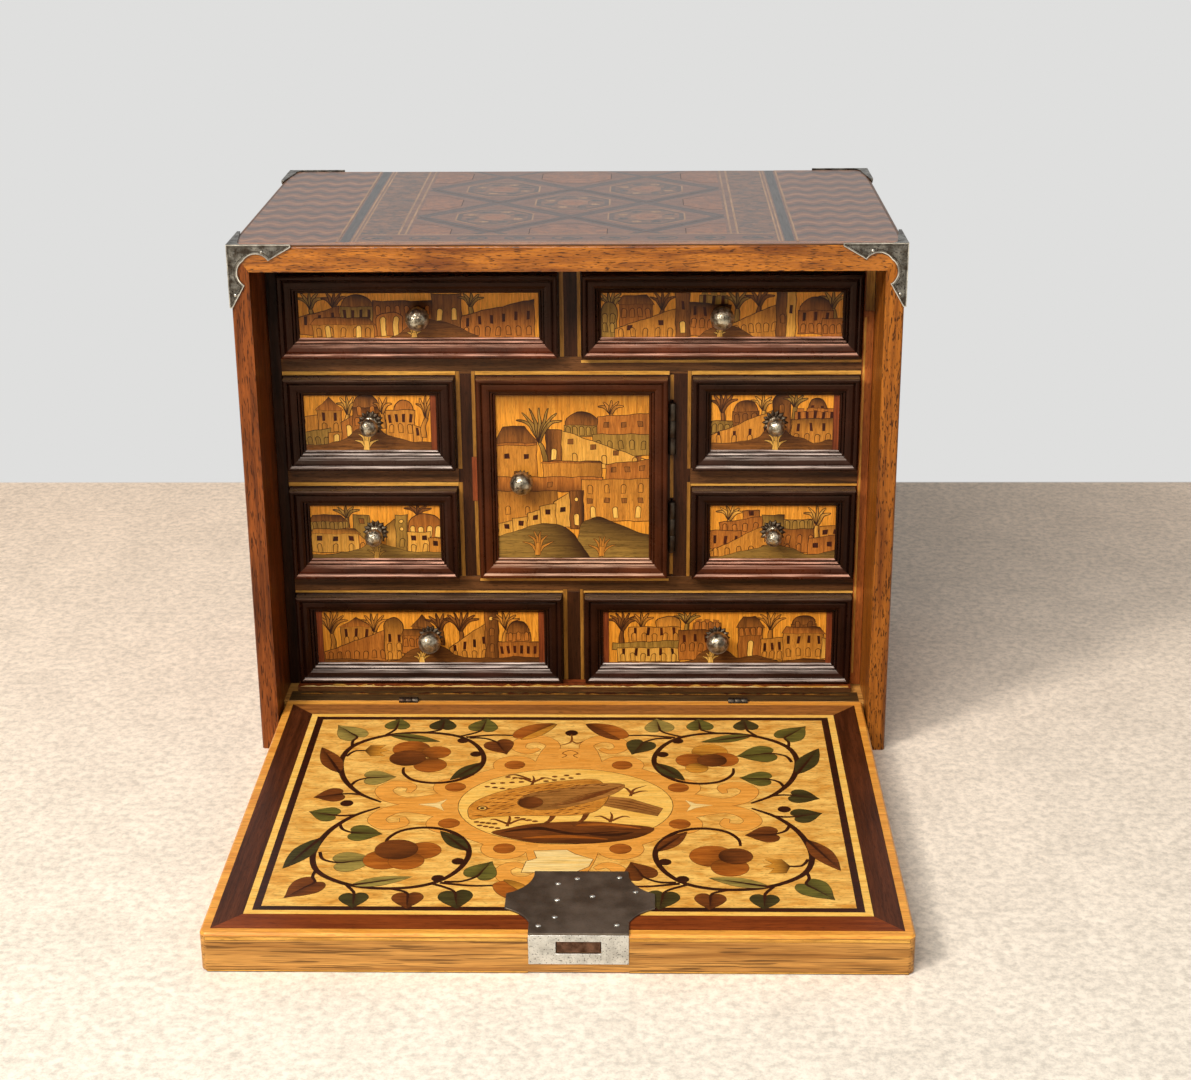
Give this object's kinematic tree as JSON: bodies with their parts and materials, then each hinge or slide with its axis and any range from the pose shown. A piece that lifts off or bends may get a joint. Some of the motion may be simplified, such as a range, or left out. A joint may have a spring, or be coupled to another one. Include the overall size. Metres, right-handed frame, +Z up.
{
  "type": "table cabinet with fall front",
  "caption": "Small table cabinet for collected things: a hinged fall front with a lock opens on a nest of drawers round a small hinged door.",
  "frame": {"origin": "middle of the underside of the case, on the surface it stands on", "axes": "+Z up, the front faces -Y, +X to the right of a person facing the front"},
  "size_m": [0.382, 0.4814, 0.313],
  "materials": {
    "walnut": "polished",
    "dark_walnut": "polished",
    "stained_moulding": "polished",
    "marquetry": "polished",
    "maple_field": "polished",
    "fruitwood": "polished",
    "pine": "bare, aged",
    "iron": "forged, dark, lightly pitted",
    "steel": "filed bright, pitted"
  },
  "bodies": {
    "case": {"case_top": "walnut", "case_bottom": "walnut", "case_side_left": "walnut", "case_side_right": "walnut", "case_back": "pine", "nest_linings": "dark_walnut", "nest_shelves": "dark_walnut", "nest_uprights": "dark_walnut", "corner_mounts": "iron", "door_hinge_frame_leaves": "iron", "door_hinge_pins": "iron", "fall_hinge_case_leaves": "iron", "fall_hinge_pins": "iron"},
    "door": {"door_board": "dark_walnut", "door_moulding": "stained_moulding", "door_marquetry": "marquetry", "door_knob": "steel", "door_hinge_leaves": "iron"},
    "fall": {"fall_board": "walnut", "fall_edging": "fruitwood", "fall_border": "dark_walnut", "fall_marquetry": "maple_field", "lock_plate": "iron", "lock_edge_plate": "steel", "fall_hinge_leaves": "iron"},
    "lock_bolt": {"lock_bolt": "iron"},
    "drawer_top_left": {"drawer_top_left_box": "pine", "drawer_top_left_moulding": "stained_moulding", "drawer_top_left_marquetry": "marquetry", "drawer_top_left_knob": "steel"},
    "drawer_top_right": {"drawer_top_right_box": "pine", "drawer_top_right_moulding": "stained_moulding", "drawer_top_right_marquetry": "marquetry", "drawer_top_right_knob": "steel"},
    "drawer_upper_left": {"drawer_upper_left_box": "pine", "drawer_upper_left_moulding": "stained_moulding", "drawer_upper_left_marquetry": "marquetry", "drawer_upper_left_knob": "steel"},
    "drawer_upper_right": {"drawer_upper_right_box": "pine", "drawer_upper_right_moulding": "stained_moulding", "drawer_upper_right_marquetry": "marquetry", "drawer_upper_right_knob": "steel"},
    "drawer_lower_left": {"drawer_lower_left_box": "pine", "drawer_lower_left_moulding": "stained_moulding", "drawer_lower_left_marquetry": "marquetry", "drawer_lower_left_knob": "steel"},
    "drawer_lower_right": {"drawer_lower_right_box": "pine", "drawer_lower_right_moulding": "stained_moulding", "drawer_lower_right_marquetry": "marquetry", "drawer_lower_right_knob": "steel"},
    "drawer_bottom_left": {"drawer_bottom_left_box": "pine", "drawer_bottom_left_moulding": "stained_moulding", "drawer_bottom_left_marquetry": "marquetry", "drawer_bottom_left_knob": "steel"},
    "drawer_bottom_right": {"drawer_bottom_right_box": "pine", "drawer_bottom_right_moulding": "stained_moulding", "drawer_bottom_right_marquetry": "marquetry", "drawer_bottom_right_knob": "steel"}
  },
  "joints": [
    {"name": "fall_hinge", "type": "hinge", "parent": "case", "child": "fall", "pos_m": [0, -0.092, 0.022], "axis": [1, 0, 0], "range_deg": [-90, 0]},
    {"name": "door_hinge", "type": "hinge", "parent": "case", "child": "door", "pos_m": [0.0605, -0.0686, 0.15932], "axis": [0, 0, 1], "range_deg": [0, 90]},
    {"name": "lock_bolt_slide", "type": "slide", "parent": "fall", "child": "lock_bolt", "axis": [0, -1, 0], "range_m": [0, 0.008]},
    {"name": "drawer_top_left_slide", "type": "slide", "parent": "case", "child": "drawer_top_left", "axis": [0, -1, 0], "range_m": [0, 0.13]},
    {"name": "drawer_top_right_slide", "type": "slide", "parent": "case", "child": "drawer_top_right", "axis": [0, -1, 0], "range_m": [0, 0.13]},
    {"name": "drawer_upper_left_slide", "type": "slide", "parent": "case", "child": "drawer_upper_left", "axis": [0, -1, 0], "range_m": [0, 0.13]},
    {"name": "drawer_upper_right_slide", "type": "slide", "parent": "case", "child": "drawer_upper_right", "axis": [0, -1, 0], "range_m": [0, 0.13]},
    {"name": "drawer_lower_left_slide", "type": "slide", "parent": "case", "child": "drawer_lower_left", "axis": [0, -1, 0], "range_m": [0, 0.13]},
    {"name": "drawer_lower_right_slide", "type": "slide", "parent": "case", "child": "drawer_lower_right", "axis": [0, -1, 0], "range_m": [0, 0.13]},
    {"name": "drawer_bottom_left_slide", "type": "slide", "parent": "case", "child": "drawer_bottom_left", "axis": [0, -1, 0], "range_m": [0, 0.13]},
    {"name": "drawer_bottom_right_slide", "type": "slide", "parent": "case", "child": "drawer_bottom_right", "axis": [0, -1, 0], "range_m": [0, 0.13]}
  ]
}
